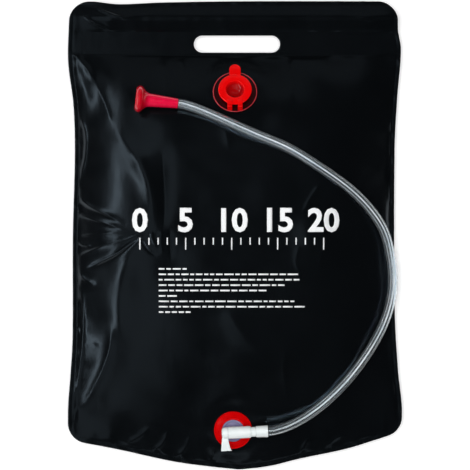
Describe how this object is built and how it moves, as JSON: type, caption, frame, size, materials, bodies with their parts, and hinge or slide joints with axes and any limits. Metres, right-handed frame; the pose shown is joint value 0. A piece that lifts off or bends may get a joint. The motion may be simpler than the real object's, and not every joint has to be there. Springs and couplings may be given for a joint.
{
  "type": "camp shower bag",
  "caption": "Flat black film water bag with a hand slot, hinged red filler lid, lever tap, clear hose and trumpet-shaped shower head.",
  "frame": {"origin": "middle of the bag's back where it rests on a table, at the surface's height", "axes": "+Y towards the top of the bag, +X to the right as seen from the front, +Z out of the front"},
  "size_m": [0.4139, 0.5794, 0.0725],
  "materials": {
    "black_film": "satin black PVC film",
    "grey_plastic": "extruded grey tube",
    "red_soft_plastic": "moulded soft red PVC",
    "blue_grey_plastic": "moulded, satin",
    "seal_rubber": "matt",
    "white_plastic": "moulded white, satin",
    "clear_hose": "clear flexible tube",
    "red_head_plastic": "moulded red, glossy"
  },
  "bodies": {
    "bag": {"front_sheet": "black_film", "back_sheet": "black_film", "handle_tube": "grey_plastic", "filler_base": "red_soft_plastic", "hinge_strap_left": "red_soft_plastic", "hinge_strap_right": "red_soft_plastic", "outlet_base": "red_soft_plastic", "outlet_seat": "blue_grey_plastic", "stem_seal": "seal_rubber", "tap_body": "white_plastic", "hose_collar": "white_plastic", "hose": "clear_hose", "head_body": "red_head_plastic", "head_rose": "red_head_plastic"},
    "lid": {"filler_lid": "red_soft_plastic"},
    "lever": {"tap_lever": "white_plastic"}
  },
  "joints": [
    {"name": "lid_hinge", "type": "hinge", "parent": "bag", "child": "lid", "pos_m": [0, 0.15721, 0.05365], "axis": [1, 0, 0], "range_deg": [0, 140]},
    {"name": "tap_turn", "type": "hinge", "parent": "bag", "child": "lever", "pos_m": [-0.0024, -0.24209, 0.03635], "axis": [-0.999, -0.0432, -0.0061], "range_deg": [0, 90]}
  ]
}
